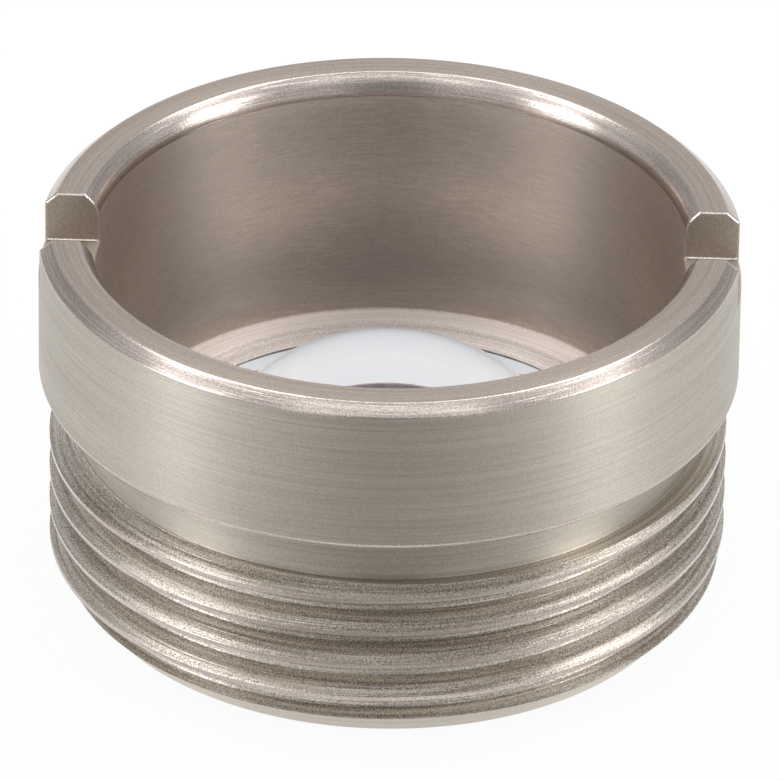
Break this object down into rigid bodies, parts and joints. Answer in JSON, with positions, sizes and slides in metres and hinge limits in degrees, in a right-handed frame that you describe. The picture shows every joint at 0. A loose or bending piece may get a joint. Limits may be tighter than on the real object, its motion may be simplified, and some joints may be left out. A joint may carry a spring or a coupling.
{
  "type": "mounted aspheric lens",
  "caption": "Small moulded glass aspheric lens held in a round stainless cell with a fine external thread, a neck relief, a plain band and two spanner slots across its rim",
  "frame": {"origin": "centre of the flat end face that the part stands on", "axes": "+Z is the optical axis, out of the wide band; +X runs through one of the two spanner slots; -Y faces the camera"},
  "size_m": [0.0092, 0.0092, 0.0053],
  "materials": {
    "turned_stainless": "satin, fine-turned",
    "lens_glass": "polished, anti-reflection coated",
    "clear_adhesive": "clear cured resin"
  },
  "bodies": {
    "root": {"housing": "turned_stainless", "lens": "lens_glass", "adhesive_ring": "clear_adhesive"}
  },
  "joints": []
}
